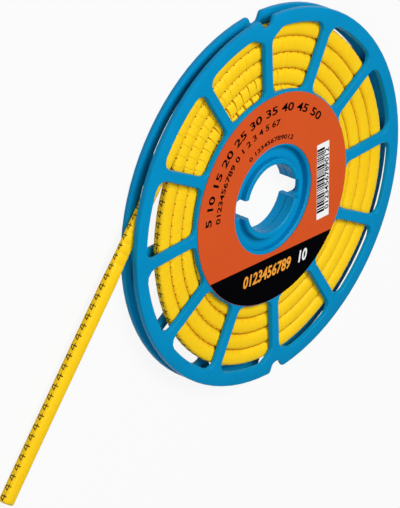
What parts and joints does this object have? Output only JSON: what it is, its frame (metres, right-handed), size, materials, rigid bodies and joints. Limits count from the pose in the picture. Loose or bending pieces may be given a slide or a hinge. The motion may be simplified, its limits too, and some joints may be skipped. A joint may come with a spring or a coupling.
{
  "type": "cable marker reel",
  "caption": "Flat reel with windowed flanges, holding a spiral strip of numbered slip-on cable markers whose free end leaves between the rims.",
  "frame": {"origin": "on the reel's axis, in the plane of the rear flange's outer face", "axes": "+Z along the reel's axis, from the rear flange to the label; +Y through a notch in the rims; the free end leaves towards -X and -Y"},
  "size_m": [0.1638, 0.1122, 0.0068],
  "materials": {
    "reel_blue": "smooth moulded plastic, satin sheen",
    "label_orange": "printed film, low sheen",
    "strip_yellow": "soft extruded plastic, low sheen"
  },
  "bodies": {
    "root": {"reel_rear": "reel_blue", "reel_front": "reel_blue", "label": "label_orange", "marker_coil": "strip_yellow", "marker_tail": "strip_yellow"}
  },
  "joints": []
}
